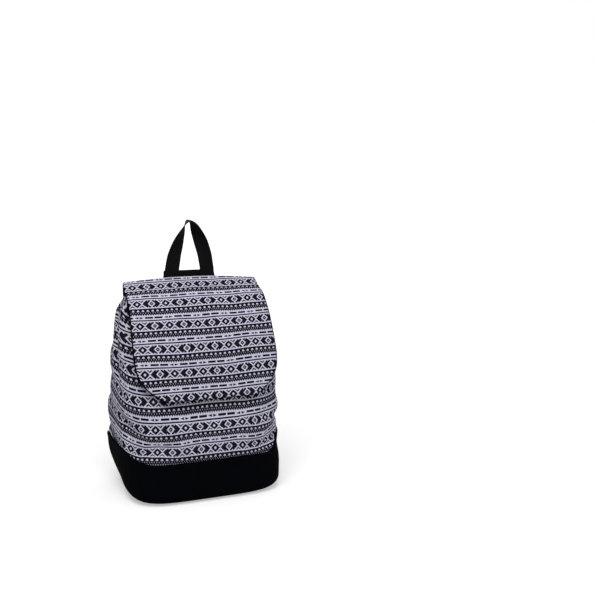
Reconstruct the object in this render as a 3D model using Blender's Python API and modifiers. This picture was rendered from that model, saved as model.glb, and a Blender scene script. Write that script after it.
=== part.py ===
"""A small flap backpack: a lofted fabric body on a dark base, with a flap, a carry handle and webbing shoulder straps.

Units are metres. +Z is up, -Y is the front that carries the flap, and the origin is the middle of the flat base.
"""

import math

import bmesh
import bpy
import numpy as np
from mathutils import Matrix, Vector

# Body
BASE_WIDTH = 0.274
TOP_WIDTH = 0.228
TAPER_POWER = 2.2
BODY_DEPTH = 0.166
BACK_CORNER = 0.016
MOUTH_FRONT_CORNER = 0.008
MOUTH_HEIGHT = 0.324
BACK_RISE = 0.017
TOP_SETTLE = 0.006
SETTLE_START = 0.220
BASE_HEIGHT = 0.068
BASE_MIDDLE = 0.041
BASE_EDGE_RADIUS = 0.018
BASE_FLARE = 0.0012
FRONT_LEAN_START = 0.060
FRONT_LEAN_POWER = 1.8
FRONT_LEAN_EASE = 0.7
BACK_LEAN = 0.033
BACK_FOOT = 0.012
BACK_TOP = 0.024
FRONT_ROUNDNESS = 4.6
BACK_ROUNDNESS = 6.0

# Cloth and webbing
BODY_CLOTH = 0.002
FLAP_CLOTH = 0.0012
LINING_CLOTH = 0.0008
WEBBING_WIDTH = 0.025
WEBBING = 0.0014
SEAM_GAP = 0.0004
CLEARANCE = 0.0003
SIDE_CLEARANCE = 0.0006

# Magnetic snap
SNAP_FROM_EDGE = 0.026
SNAP_DIAMETER = 0.018
SNAP_PLAY = 0.0009
SOCKET_THICKNESS = 0.0020
SOCKET_CHAMFER = 0.0005
STUD_THICKNESS = 0.0010
STUD_POST_DIAMETER = 0.005
STUD_POST_LENGTH = 0.0012
WASHER_THICKNESS = 0.0010
WASHER_HOLE = 0.006

# Flap
FLAP_TOP_INSET = 0.0005
FLAP_SIDE_INSET = 0.019
FLAP_END_HEIGHT = 0.165
FLAP_CORNER_LENGTH = 0.080
FLAP_CORNER_WIDTH = 0.045
FLAP_CORNER_POWER = 3.2
FLAP_TAIL = 0.020
FLAP_TOP_RISE = 0.005
FLAP_BEND = 0.006
FLAP_EDGE_DROP = 0.006
FLAP_DROP_LENGTH = 0.080
LINING_MARGIN = 0.004

# Carry handle
HANDLE_HEIGHT = 0.100
HANDLE_SPREAD = 0.061
HANDLE_PEAK_RADIUS = 0.007
HANDLE_LEG = ((0.86, 0.30), (0.60, 0.60))
ANCHOR_OVERHANG = 0.001
ANCHOR_RISE = 0.009

# Shoulder straps
STRAP_TURN = math.radians(14)
STRAP_TOP_INSET = 0.004
STRAP_BOW_LENGTH = 0.064
STRAP_BOW = 0.018
STRAP_STANDOFF = 0.0156
SLIDER_ABOVE_RING = 0.064
SLIDER_LENGTH = 0.024
SLIDER_BAR = 0.0024
SLIDER_RAIL = 0.003
END_LOOP_LENGTH = 0.026
END_LOOP_NECK = 0.0063
RING_WIRE = 0.003
RING_CORNER = 0.0028
RING_SPACING = 0.015
RING_PLAY = 0.0017
RING_LEAD = 0.012
RETURN_EASE = 0.022
TAB_HANG = 0.019
TAB_FOOT = 0.020
TAB_BELOW_SEAM = 0.0015

# What follows from those
MOUTH_DEPTH = BACK_CORNER + MOUTH_FRONT_CORNER
BACK_HEIGHT = MOUTH_HEIGHT + BACK_RISE
BACK_Y = BODY_DEPTH / 2
BACK_TOP_Y = BACK_Y - BACK_LEAN
BACK_SEAM_GAP = SEAM_GAP + 0.7 * BODY_CLOTH
SNAP_STACK = SOCKET_THICKNESS + STUD_THICKNESS + SNAP_PLAY
SNAP_HEIGHT = FLAP_END_HEIGHT + SNAP_FROM_EDGE
BINDING_HEIGHT = SNAP_STACK - SEAM_GAP
FLAP_GAP = SNAP_STACK + LINING_CLOTH + FLAP_CLOTH + 3 * CLEARANCE
FLAP_TOP_WIDTH = TOP_WIDTH - 2 * FLAP_TOP_INSET
FLAP_WIDTH = BASE_WIDTH - 2 * FLAP_SIDE_INSET
FLAP_TIP_WIDTH = FLAP_WIDTH - 2 * FLAP_CORNER_WIDTH
HANDLE_Y = BACK_TOP_Y + CLEARANCE + FLAP_CLOTH + CLEARANCE + WEBBING / 2
STRAP_TOP_Y = HANDLE_Y + WEBBING + CLEARANCE
ANCHOR_Y = STRAP_TOP_Y + WEBBING + CLEARANCE
ANCHOR_WIDTH = HANDLE_SPREAD + WEBBING_WIDTH + 2 * ANCHOR_OVERHANG
ANCHOR_TOP = BACK_HEIGHT + FLAP_TOP_RISE + ANCHOR_RISE
ANCHOR_BOTTOM = ANCHOR_TOP - WEBBING_WIDTH

# The straps' own lengths. Each strap leaves the anchor band, bows out, and runs straight to its ring at the base.
STRAP_TOP_Z = ANCHOR_TOP - STRAP_TOP_INSET
FLAT_LENGTH = (WEBBING_WIDTH * (1 + math.sin(STRAP_TURN) / 2) - STRAP_TOP_INSET) / math.cos(STRAP_TURN) + CLEARANCE
TAB_HEEL = (STRAP_TOP_Z - BASE_HEIGHT + TAB_BELOW_SEAM) / math.cos(STRAP_TURN)
RUN_START = Vector((FLAT_LENGTH + STRAP_BOW_LENGTH, STRAP_TOP_Y + STRAP_BOW))
RUN_END = Vector((TAB_HEEL - TAB_HANG, BACK_Y + BASE_FLARE + STRAP_STANDOFF))
RUN_DOWN = (RUN_END - RUN_START).normalized()
STRAP_RUN = (RUN_END - RUN_START).length - RING_SPACING
SLIDER_PLACE = STRAP_RUN - SLIDER_ABOVE_RING
LOOP_RADIUS = SLIDER_BAR / 2 + CLEARANCE + WEBBING / 2
BAR_INWARD = WEBBING + CLEARANCE + WEBBING / 2 + LOOP_RADIUS
RING_TURN_RADIUS = RING_WIRE / 2 + RING_PLAY + WEBBING / 2
RING_INWARD = WEBBING / 2 + RING_TURN_RADIUS
TAB_RADIUS = RING_WIRE / 2 + CLEARANCE + WEBBING / 2

MATERIAL_LOOKS = {
    "patterned_cloth": ((0.36, 0.35, 0.40), 0.85, 0.0),
    "black_canvas": ((0.012, 0.012, 0.015), 0.9, 0.0),
    "black_webbing": ((0.010, 0.010, 0.012), 0.75, 0.0),
    "nickel": ((0.62, 0.61, 0.58), 0.25, 1.0),
    "black_plastic": ((0.015, 0.015, 0.017), 0.4, 0.0),
}


def clear_scene():
    for obj in list(bpy.data.objects):
        bpy.data.objects.remove(obj, do_unlink=True)


def material(name):
    """The Principled material of that name, made once."""
    found = bpy.data.materials.get(name)
    if found:
        return found
    colour, roughness, metallic = MATERIAL_LOOKS[name]
    made = bpy.data.materials.new(name)
    made.use_nodes = True
    shader = made.node_tree.nodes["Principled BSDF"]
    shader.inputs["Base Color"].default_value = (*colour, 1.0)
    shader.inputs["Roughness"].default_value = roughness
    shader.inputs["Metallic"].default_value = metallic
    return made


def add_part(name, data, look):
    """Links a mesh or a curve as one named part of the backpack."""
    part = bpy.data.objects.new(name, data)
    part.data.materials.append(material(look))
    backpack.objects.link(part)
    return part


def solidify(part, thickness, side):
    """Gives a sheet its thickness. side is -1 away from the faces' normals and 1 along them."""
    wall = part.modifiers.new("thickness", "SOLIDIFY")
    wall.thickness = thickness
    wall.offset = side
    wall.use_even_offset = True


def sheet(name, across, along, place, thickness, side, look):
    """A grid whose points place(q, r) puts in space, with q and r from -1 to 1, thickened to cloth."""
    bm = bmesh.new()
    bmesh.ops.create_grid(bm, x_segments=across, y_segments=along, size=1)
    for vert in bm.verts:
        vert.co = place(vert.co.x, vert.co.y)
    mesh = bpy.data.meshes.new(name)
    bm.to_mesh(mesh)
    bm.free()
    mesh.shade_smooth()
    part = add_part(name, mesh, look)
    solidify(part, thickness, side)


def block(low, high):
    """A block between two corners."""
    bm = bmesh.new()
    bmesh.ops.create_cube(bm, size=1)
    low, high = Vector(low), Vector(high)
    bmesh.ops.scale(bm, verts=bm.verts, vec=high - low)
    bmesh.ops.translate(bm, verts=bm.verts, vec=(low + high) / 2)
    return bm


def solid(name, bm):
    """The object of a bmesh, not yet in a collection."""
    mesh = bpy.data.meshes.new(name)
    bm.to_mesh(mesh)
    bm.free()
    return bpy.data.objects.new(name, mesh)


def share_between(value, low, high):
    """How far a value lies from low to high, from 0 to 1."""
    return min(max((value - low) / (high - low), 0.0), 1.0)


def share(r):
    """Turns a grid coordinate from -1 to 1 into a share from 0 to 1."""
    return share_between(r, -1.0, 1.0)


# The body's outer surface


def lean_share(t):
    """How much of its lean the front has taken, a share t of the way up."""
    return 1 - (1 - t**FRONT_LEAN_POWER) ** FRONT_LEAN_EASE


def front_y(height):
    """The front's middle: upright at the base, leaning back ever more towards the mouth."""
    t = share_between(height, FRONT_LEAN_START, MOUTH_HEIGHT)
    return -BODY_DEPTH / 2 + (BODY_DEPTH - BACK_LEAN - MOUTH_DEPTH) * lean_share(t)


def back_y(height):
    """The back's middle, which leans forward between its upright foot and its upright top."""
    t = share_between(height, BASE_HEIGHT + BACK_FOOT, MOUTH_HEIGHT - BACK_TOP)
    return BACK_Y - BACK_LEAN * (3 - 2 * t) * t**2


def half_width(height):
    taper = share_between(height, 0.0, MOUTH_HEIGHT) ** TAPER_POWER
    return (BASE_WIDTH + (TOP_WIDTH - BASE_WIDTH) * taper) / 2


def half_section(height, grow):
    """The right half of the outline at a height, from the middle of the front to the middle of the back.

    Returns its points, the length along it to each, and the length to the back corner.
    """
    widest = back_y(height) - BACK_CORNER
    angle = np.linspace(-math.pi / 2, math.pi / 2, 241)
    power = 2 / np.where(angle < 0, FRONT_ROUNDNESS, BACK_ROUNDNESS)
    reach = np.where(angle < 0, widest - front_y(height), BACK_CORNER) + grow
    cos, sin = np.abs(np.cos(angle)), np.sin(angle)
    x = (half_width(height) + grow) * cos**power
    y = widest + reach * np.sign(sin) * np.abs(sin) ** power
    x[0] = x[-1] = 0.0
    steps = np.hypot(np.diff(x), np.diff(y))
    length = np.concatenate([[0.0], np.cumsum(steps)])
    return x, y, length, np.interp(math.pi / 4, angle, length)


def settled(point):
    """Lets the soft top hang lower at its two corners than over the handle."""
    share_up = share_between(point.z, SETTLE_START, BACK_HEIGHT)
    return point - Vector((0, 0, TOP_SETTLE * share_up * (2 * point.x / TOP_WIDTH) ** 2))


def wrap_point(q, height, grow=0.0):
    """A point of the front and sides. q is 0 at the front's middle and 1 at the right back corner."""
    x, y, length, corner = half_section(height, grow)
    at = abs(q) * (corner - BACK_SEAM_GAP / 2)
    return Vector((math.copysign(np.interp(at, length, x), q), np.interp(at, length, y), height))


def back_point(q, height, grow=0.0):
    """A point of the back. q is 0 at its middle and 1 at the right back corner."""
    x, y, length, corner = half_section(height, grow)
    at = length[-1] - abs(q) * (length[-1] - corner - BACK_SEAM_GAP / 2)
    return Vector((math.copysign(np.interp(at, length, x), q), np.interp(at, length, y), height))


def wall_height(t):
    """Heights up the wall, closer together near the mouth, where the front leans back fast."""
    low = BASE_HEIGHT + SEAM_GAP
    return low + (MOUTH_HEIGHT - low) * (1 - (1 - t) ** FRONT_LEAN_POWER)


def front_profile(height):
    """The front's middle at a height, and the outward normal there, in the Y and Z plane."""
    step = 0.001
    low, high = height - step, min(height + step, MOUTH_HEIGHT)
    along = Vector((0, front_y(high) - front_y(low), high - low)).normalized()
    return Vector((0, front_y(height), height)), Vector((0, -along.z, along.y))


def make_front_and_sides():
    def place(q, r):
        return settled(wrap_point(q, wall_height(share(r))))

    sheet("front_and_sides", 52, 13, place, BODY_CLOTH, -1, "patterned_cloth")


def make_mouth_binding():
    def place(q, r):
        lift = Vector((0, 0, SEAM_GAP + BINDING_HEIGHT * share(r)))
        return settled(wrap_point(q, MOUTH_HEIGHT)) + lift

    sheet("mouth_binding", 52, 1, place, BODY_CLOTH, -1, "black_canvas")


def make_back_panel():
    low = BASE_HEIGHT + SEAM_GAP

    def place(q, r):
        return settled(back_point(-q, low + (BACK_HEIGHT - low) * share(r)))

    sheet("back_panel", 18, 8, place, BODY_CLOTH, -1, "patterned_cloth")


def make_base_panel():
    """The dark tub: the body's outline carried down, rounded under and closed flat."""
    around = [(wrap_point, q) for q in np.linspace(-1, 1, 35)]
    around += [(back_point, q) for q in np.linspace(1, -1, 10)]
    bends = np.linspace(0, math.pi / 2, 5)
    levels = [(BASE_HEIGHT, BASE_FLARE), (BASE_MIDDLE, BASE_FLARE)]
    for bend in bends:
        height = BASE_EDGE_RADIUS * (1 - math.sin(bend))
        levels.append((height, BASE_FLARE - BASE_EDGE_RADIUS * (1 - math.cos(bend))))
    bm = bmesh.new()
    ring = bmesh.ops.create_circle(bm, segments=len(around), radius=1)["verts"]
    edges = list(bm.edges)
    for number, (height, grow) in enumerate(levels):
        if number:
            grown = bmesh.ops.extrude_edge_only(bm, edges=edges)["geom"]
            fresh = {v for v in grown if isinstance(v, bmesh.types.BMVert)}
            edges = [e for e in grown if isinstance(e, bmesh.types.BMEdge) and set(e.verts) <= fresh]
            follow = {}
            for vert in ring:
                follow[vert] = next(e.other_vert(vert) for e in vert.link_edges if e.other_vert(vert) in fresh)
            ring = [follow[vert] for vert in ring]
        for vert, (point, q) in zip(ring, around):
            vert.co = point(q, height, grow)
    bm.faces.new(ring)
    bmesh.ops.recalc_face_normals(bm, faces=bm.faces)
    floor = min(bm.faces, key=lambda face: face.calc_center_median().z)
    if floor.normal.z > 0:
        bmesh.ops.reverse_faces(bm, faces=bm.faces)
    mesh = bpy.data.meshes.new("base_panel")
    bm.to_mesh(mesh)
    bm.free()
    mesh.shade_smooth()
    part = add_part("base_panel", mesh, "black_canvas")
    solidify(part, BODY_CLOTH, -1)


# The flap
def flap_profile(lift, margin, tail):
    """The flap's line from the back, over the top and down the middle of the front.

    lift is how far the line lies outside the body's front. A tail is the part sewn to the back.
    """
    behind = BACK_TOP_Y + CLEARANCE + FLAP_CLOTH
    top = BACK_HEIGHT + FLAP_TOP_RISE - (FLAP_GAP - lift)
    points = []
    if tail:
        points = [Vector((0, behind, BACK_HEIGHT - FLAP_TAIL * (1 - n / 3))) for n in range(3)]
        for bend in np.linspace(0, math.pi / 2, 5)[:-1]:
            turn = Vector((0, 1 - math.cos(bend), 1 - math.sin(bend)))
            points.append(Vector((0, behind, top)) - FLAP_BEND * turn)
    points.append(Vector((0, behind - FLAP_BEND, top)))
    heights = MOUTH_HEIGHT - (MOUTH_HEIGHT - FLAP_END_HEIGHT - margin) * np.linspace(0.0, 1.0, 24) ** 1.7
    down = [point + normal * lift for point, normal in map(front_profile, heights)]
    points += [points[-1].lerp(down[0], n / 4) for n in range(1, 4)]
    return points + down


def flap_half_width(place, total, margin):
    """Half the flap's width at a distance from its tail: wider towards the front, with its two corners cut."""
    full = FLAP_TOP_WIDTH + (FLAP_WIDTH - FLAP_TOP_WIDTH) * min(place / (total - FLAP_CORNER_LENGTH), 1.0)
    into_corner = max(place - (total - FLAP_CORNER_LENGTH), 0.0) / FLAP_CORNER_LENGTH
    return (full - (full - FLAP_TIP_WIDTH) * into_corner**FLAP_CORNER_POWER) / 2 - margin


def flap_sheet(name, lift, margin, tail, thickness, look):
    points = flap_profile(lift, margin, tail)
    steps = len(points) - 1
    length = [0.0]
    for first, second in zip(points, points[1:]):
        length.append(length[-1] + (second - first).length)

    def place(q, r):
        row = round(share(r) * steps)
        along = points[min(row + 1, steps)] - points[max(row - 1, 0)]
        inward = Vector((0, -along.z, along.y)).normalized()
        x = -q * flap_half_width(length[row], length[-1], margin)
        begun = share_between(MOUTH_HEIGHT - points[row].z, 0.0, FLAP_DROP_LENGTH)
        dropped = inward * FLAP_EDGE_DROP * begun * (2 * x / FLAP_WIDTH) ** 4
        return settled(points[row] + Vector((x, 0, 0)) + dropped)

    sheet(name, 18, steps, place, thickness, -1, look)


def make_flap():
    flap_sheet("flap", FLAP_GAP, 0.0, True, FLAP_CLOTH, "patterned_cloth")
    under = FLAP_GAP - FLAP_CLOTH - CLEARANCE
    flap_sheet("flap_lining", under, LINING_MARGIN, False, LINING_CLOTH, "black_canvas")


# The carry handle and the band that anchors it
def smooth_line(points, count):
    """A smooth curve through the points, read at even steps of its length."""
    points = np.array(points, float)
    ends = np.vstack([2 * points[0] - points[1], points, 2 * points[-1] - points[-2]])
    dense = []
    for before, start, end, after in zip(ends, ends[1:], ends[2:], ends[3:]):
        for t in np.linspace(0, 1, 12, endpoint=False):
            curve = 2 * start + (end - before) * t
            curve = curve + (2 * before - 5 * start + 4 * end - after) * t**2
            dense.append((curve + (3 * start - 3 * end + after - before) * t**3) / 2)
    dense = np.array(dense + [points[-1]])
    length = np.concatenate([[0.0], np.cumsum(np.linalg.norm(np.diff(dense, axis=0), axis=1))])
    at = np.linspace(0, length[-1], count)
    return np.stack([np.interp(at, length, dense[:, n]) for n in range(dense.shape[1])], axis=1)


def make_carry_handle():
    """A webbing loop, flat against the back at its ends and turned edge-on at its peak."""
    foot, start = ANCHOR_BOTTOM + CLEARANCE, ANCHOR_TOP
    peak = BACK_HEIGHT + HANDLE_HEIGHT
    rise, spread = peak - start, HANDLE_SPREAD / 2
    leg = [(spread, foot), (spread, start)]
    leg += [(out * spread, start + up * rise) for out, up in HANDLE_LEG]
    leg += [(HANDLE_PEAK_RADIUS, peak - HANDLE_PEAK_RADIUS)]
    left = [(-x, z) for x, z in leg]
    steps = 40
    line = smooth_line(left + [(0, peak)] + leg[::-1], steps + 1)

    def place(q, r):
        x, z = line[round(share(r) * steps)]
        turn = math.pi / 2 * share_between(z, start, peak)
        if x > 0:
            turn = math.pi - turn
        across = q * WEBBING_WIDTH / 2
        return Vector((x + across * math.cos(turn), HANDLE_Y + across * math.sin(turn), z))

    sheet("carry_handle", 2, steps, place, WEBBING, 0, "black_webbing")


def make_anchor_band():
    low = (-ANCHOR_WIDTH / 2, ANCHOR_Y - WEBBING / 2, ANCHOR_BOTTOM)
    high = (ANCHOR_WIDTH / 2, ANCHOR_Y + WEBBING / 2, ANCHOR_TOP)
    band = solid("anchor_band", block(low, high))
    band.data.materials.append(material("black_webbing"))
    backpack.objects.link(band)


# The shoulder straps. Each lies in a plane turned about +Y, where x runs down the strap and y away from the back.
def strap_frame(side):
    """Carries a strap's own x, down it, y, away from the back, and z, across it, into the backpack's frame."""
    down = Vector((side * math.sin(STRAP_TURN), 0, -math.cos(STRAP_TURN)))
    out = Vector((0, 1, 0))
    across = down.cross(out)
    turn = Matrix((down, out, across)).transposed().to_4x4()
    return Matrix.Translation((side * HANDLE_SPREAD / 2, 0, STRAP_TOP_Z)) @ turn


def run_point(along, inward):
    """A point on the strap's straight run: along from its start, and inward from the main ply's outer face."""
    return RUN_START + RUN_DOWN * along + Vector((RUN_DOWN.y, -RUN_DOWN.x)) * inward


def run_frame(side, along, inward):
    """A frame at a point of the run, with x down the run, y outward and z across it."""
    place = run_point(along, inward)
    turn = Matrix.Rotation(math.atan2(RUN_DOWN.y, RUN_DOWN.x), 4, "Z")
    return strap_frame(side) @ Matrix.Translation((place.x, place.y, 0)) @ turn


def turn_points(along, inward, radius, start, end, count=9):
    """An arc about a point of the straight run. 0 degrees points down the run and 90 towards the back."""
    found = []
    for angle in np.radians(np.linspace(start, end, count)):
        found.append(run_point(along + radius * math.cos(angle), inward + radius * math.sin(angle)))
    return found


def ribbon_outline(line):
    """The closed outline of a ply of webbing whose middle follows the line."""
    line = [Vector(point) for point in line]
    left, right = [], []
    for n, point in enumerate(line):
        before, after = line[max(n - 1, 0)], line[min(n + 1, len(line) - 1)]
        first, second = (point - before), (after - point)
        first = first.normalized() if n else second.normalized()
        second = second.normalized() if n < len(line) - 1 else first
        middle = (first + second).normalized()
        normal = Vector((-middle.y, middle.x))
        reach = WEBBING / 2 / max(middle.dot(second), 0.5)
        left.append(point + normal * reach)
        right.append(point - normal * reach)
    return left + right[::-1]


def webbing_piece(name, outlines, side, origin=Vector((0, 0))):
    """Outlines in a strap's own plane, filled and extruded to the webbing's width, about an origin in that plane."""
    curve = bpy.data.curves.new(name, "CURVE")
    curve.dimensions = "2D"
    curve.fill_mode = "BOTH"
    curve.extrude = WEBBING_WIDTH / 2
    for outline in outlines:
        spline = curve.splines.new("POLY")
        spline.points.add(len(outline) - 1)
        for point, place in zip(spline.points, outline):
            point.co = (place.x - origin.x, place.y - origin.y, 0, 1)
        spline.use_cyclic_u = True
    piece = add_part(name, curve, "black_webbing")
    piece.matrix_world = strap_frame(side) @ Matrix.Translation((origin.x, origin.y, 0))


def strap_line():
    """The main ply from under the anchor band to the ring, round its bar and back up to the sewn end loop."""
    half = WEBBING / 2
    low, high = Vector((FLAT_LENGTH, STRAP_TOP_Y)), run_point(0, half)
    reach, end_slope = high - low, RUN_DOWN.y / RUN_DOWN.x
    line = [Vector((0, STRAP_TOP_Y))]
    for t in np.linspace(0, 1, 12):
        rise = reach.y * (3 - 2 * t) * t**2 + end_slope * reach.x * (t**3 - t**2)
        line.append(low + Vector((reach.x * t, rise)))
    line += [run_point(STRAP_RUN - RING_LEAD, half)]
    line += turn_points(STRAP_RUN, RING_INWARD, RING_TURN_RADIUS, -90, 90)
    line += [run_point(STRAP_RUN - RING_LEAD, RING_INWARD + RING_TURN_RADIUS)]
    line += [run_point(STRAP_RUN - RING_LEAD - RETURN_EASE, BAR_INWARD)]
    line += [run_point(SLIDER_PLACE + END_LOOP_LENGTH + SEAM_GAP, BAR_INWARD)]
    return line


def end_loop_outline():
    """The webbing's end, folded round the slider's middle bar and sewn to itself."""
    end = SLIDER_PLACE + END_LOOP_LENGTH
    outer, inner = LOOP_RADIUS + WEBBING / 2, LOOP_RADIUS - WEBBING / 2
    neck = SLIDER_PLACE + END_LOOP_NECK
    outline = [run_point(end, BAR_INWARD - WEBBING), run_point(neck, BAR_INWARD - WEBBING)]
    outline += turn_points(SLIDER_PLACE, BAR_INWARD, outer, -60, -300, 15)
    outline += [run_point(neck, BAR_INWARD + WEBBING), run_point(end, BAR_INWARD + WEBBING)]
    hole = turn_points(SLIDER_PLACE, BAR_INWARD, inner, 0, 330, 12)
    return [outline, hole]


def tab_outline():
    """A short folded tab: round the ring's lower bar at one end, its two plies sewn to the base at the other."""
    along = STRAP_RUN + RING_SPACING
    outer, inner = TAB_RADIUS + WEBBING / 2, TAB_RADIUS - WEBBING / 2
    wall = BACK_Y + BASE_FLARE + CLEARANCE
    outline = turn_points(along, RING_INWARD, outer, 75, 290, 13)
    heel = run_point(along, RING_INWARD).x + TAB_HANG
    outline += [Vector((heel, wall + 2 * WEBBING)), Vector((heel + TAB_FOOT, wall + 2 * WEBBING))]
    outline += [Vector((heel + TAB_FOOT, wall)), Vector((heel - WEBBING, wall))]
    hole = turn_points(along, RING_INWARD, inner, 0, 330, 12)
    return [outline, hole]


def bar(length, radius):
    """A round bar along z."""
    bm = bmesh.new()
    bmesh.ops.create_cone(bm, cap_ends=True, segments=12, radius1=radius, radius2=radius, depth=length)
    return bm


def make_slider(side, label):
    """A ladder slider, about its middle bar: two rails, and two end bars outside the strap's main ply."""
    inner = WEBBING_WIDTH / 2 + SIDE_CLEARANCE
    outer, middle = inner + SLIDER_RAIL, inner + SLIDER_RAIL / 2
    low, half = -SLIDER_BAR / 2, SLIDER_LENGTH / 2
    ply_face = BAR_INWARD + CLEARANCE
    high = ply_face + SLIDER_BAR
    lip = CLEARANCE / 2
    slider = solid("strap_slider_" + label, block((-half, low, inner), (half, high, outer)))
    joined = [block((-half, low, -outer), (half, high, -inner)), bar(2 * middle, SLIDER_BAR / 2)]
    for start in (lip - half, half - lip - 2 * SLIDER_BAR):
        joined.append(block((start, ply_face, -middle), (start + 2 * SLIDER_BAR, high - lip, middle)))
    slider.data.materials.append(material("black_plastic"))
    backpack.objects.link(slider)
    slider.matrix_world = run_frame(side, SLIDER_PLACE, BAR_INWARD)
    for shape in joined:
        piece = solid("slider_shape", shape)
        piece.hide_render = True
        piece.display_type = "WIRE"
        piece.matrix_world = slider.matrix_world
        cutters.objects.link(piece)
        join = slider.modifiers.new("join", "BOOLEAN")
        join.operation = "UNION"
        join.object = piece


def make_ring(side, label):
    """A rectangular ring of round wire, about its lower bar, which the tab holds."""
    reach = WEBBING_WIDTH / 2 + SIDE_CLEARANCE + RING_WIRE / 2
    curve = bpy.data.curves.new("strap_ring_" + label, "CURVE")
    curve.dimensions = "3D"
    curve.bevel_depth = RING_WIRE / 2
    curve.bevel_resolution = 2
    places = []
    near, far = -RING_CORNER, RING_CORNER - RING_SPACING
    side_place = reach - RING_CORNER
    for x, z, turn in ((near, side_place, 0), (far, side_place, 90), (far, -side_place, 180), (near, -side_place, 270)):
        for angle in np.radians(np.linspace(turn, turn + 90, 4)):
            places.append((x + RING_CORNER * math.cos(angle), 0, z + RING_CORNER * math.sin(angle)))
    spline = curve.splines.new("POLY")
    spline.points.add(len(places) - 1)
    for point, place in zip(spline.points, places):
        point.co = (*place, 1)
    spline.use_cyclic_u = True
    ring = add_part("strap_ring_" + label, curve, "nickel")
    ring.matrix_world = run_frame(side, STRAP_RUN + RING_SPACING, RING_INWARD)


def make_shoulder_straps():
    for side, label in ((-1, "left"), (1, "right")):
        webbing_piece("shoulder_strap_" + label, [ribbon_outline(strap_line())], side)
        webbing_piece("strap_end_loop_" + label, end_loop_outline(), side, run_point(SLIDER_PLACE, BAR_INWARD))
        webbing_piece("strap_tab_" + label, tab_outline(), side)
        make_slider(side, label)
        make_ring(side, label)


# The magnetic snap
def turned(name, profile, height, lift, look):
    """A round piece on the front, its axis along the cloth's normal and its back lift above the outer face."""
    bm = bmesh.new()
    verts = [bm.verts.new((radius, 0, up)) for radius, up in profile]
    for first, second in zip(verts, verts[1:]):
        bm.edges.new((first, second))
    if profile[0][0] > 0:
        bm.edges.new((verts[-1], verts[0]))
    mesh = bpy.data.meshes.new(name)
    bm.to_mesh(mesh)
    bm.free()
    part = add_part(name, mesh, look)
    spin = part.modifiers.new("turn", "SCREW")
    spin.steps = spin.render_steps = 24
    spin.use_merge_vertices = True
    spin.merge_threshold = 0.00001
    point, normal = front_profile(height)
    part.location = point + normal * lift
    part.rotation_euler = normal.to_track_quat("Z", "Y").to_euler()


def make_snap():
    """Socket on the front, stud on the flap's lining, and a washer inside the front."""
    radius, post = SNAP_DIAMETER / 2, STUD_POST_DIAMETER / 2
    well = post + CLEARANCE
    edge = radius - SOCKET_CHAMFER
    socket = [(well, SOCKET_THICKNESS), (edge, SOCKET_THICKNESS)]
    socket += [(radius, SOCKET_THICKNESS - SOCKET_CHAMFER), (radius, 0), (well, 0)]
    turned("snap_socket", socket, SNAP_HEIGHT, CLEARANCE, "nickel")
    lining_inside = FLAP_GAP - FLAP_CLOTH - CLEARANCE - LINING_CLOTH
    top = lining_inside - CLEARANCE
    stud = [(0, STUD_THICKNESS), (radius, STUD_THICKNESS), (radius, 0), (post, 0)]
    stud += [(post, -STUD_POST_LENGTH), (0, -STUD_POST_LENGTH)]
    turned("snap_stud", stud, SNAP_HEIGHT, top - STUD_THICKNESS, "nickel")
    hole = WASHER_HOLE / 2
    washer = [(hole, WASHER_THICKNESS), (radius, WASHER_THICKNESS), (radius, 0), (hole, 0)]
    inside = BODY_CLOTH + CLEARANCE + WASHER_THICKNESS
    turned("snap_washer", washer, SNAP_HEIGHT, -inside, "nickel")


clear_scene()
backpack = bpy.data.collections.new("backpack")
cutters = bpy.data.collections.new("cutters")
bpy.context.scene.collection.children.link(backpack)
bpy.context.scene.collection.children.link(cutters)
make_base_panel()
make_front_and_sides()
make_mouth_binding()
make_back_panel()
make_flap()
make_carry_handle()
make_anchor_band()
make_shoulder_straps()
make_snap()
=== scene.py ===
"""A small flap backpack in woven geometric cloth, with a black canvas base and webbing straps and handle.

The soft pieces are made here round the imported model. Units are metres, the front is -Y, and the base stands
on z = 0.
"""

import math

import bmesh
import bpy
import numpy as np
from mathutils import Matrix, Vector, noise


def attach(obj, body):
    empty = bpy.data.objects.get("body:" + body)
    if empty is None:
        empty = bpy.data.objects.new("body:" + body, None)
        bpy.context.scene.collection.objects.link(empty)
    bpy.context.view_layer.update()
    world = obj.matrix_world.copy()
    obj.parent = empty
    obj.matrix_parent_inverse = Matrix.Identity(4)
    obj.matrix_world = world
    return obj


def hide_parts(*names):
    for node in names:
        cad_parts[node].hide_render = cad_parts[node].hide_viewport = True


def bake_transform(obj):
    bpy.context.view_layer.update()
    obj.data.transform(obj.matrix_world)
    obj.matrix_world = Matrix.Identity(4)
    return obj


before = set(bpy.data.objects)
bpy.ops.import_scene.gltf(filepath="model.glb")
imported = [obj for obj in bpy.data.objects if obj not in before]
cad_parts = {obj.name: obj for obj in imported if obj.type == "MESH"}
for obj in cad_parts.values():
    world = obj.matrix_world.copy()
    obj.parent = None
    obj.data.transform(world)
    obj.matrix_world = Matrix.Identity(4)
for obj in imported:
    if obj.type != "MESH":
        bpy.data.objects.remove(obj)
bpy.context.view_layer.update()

# The body
BASE_WIDTH, TOP_WIDTH, TAPER_POWER = 0.274, 0.228, 2.2
BODY_DEPTH, BACK_CORNER, MOUTH_DEPTH = 0.166, 0.016, 0.024
MOUTH_HEIGHT, BACK_HEIGHT, BASE_HEIGHT = 0.324, 0.341, 0.068
TOP_SETTLE, SETTLE_START = 0.006, 0.220
BASE_EDGE_RADIUS, BASE_FLARE = 0.018, 0.0012
LEAN_START, LEAN_POWER, LEAN_EASE = 0.060, 1.8, 0.7
BACK_LEAN, BACK_LEAN_LOW, BACK_LEAN_HIGH = 0.033, 0.080, 0.300
FRONT_ROUNDNESS, BACK_ROUNDNESS = 4.6, 6.0
SEAM_GAP = 0.0004
BACK_TOP_Y = BODY_DEPTH / 2 - BACK_LEAN

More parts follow.
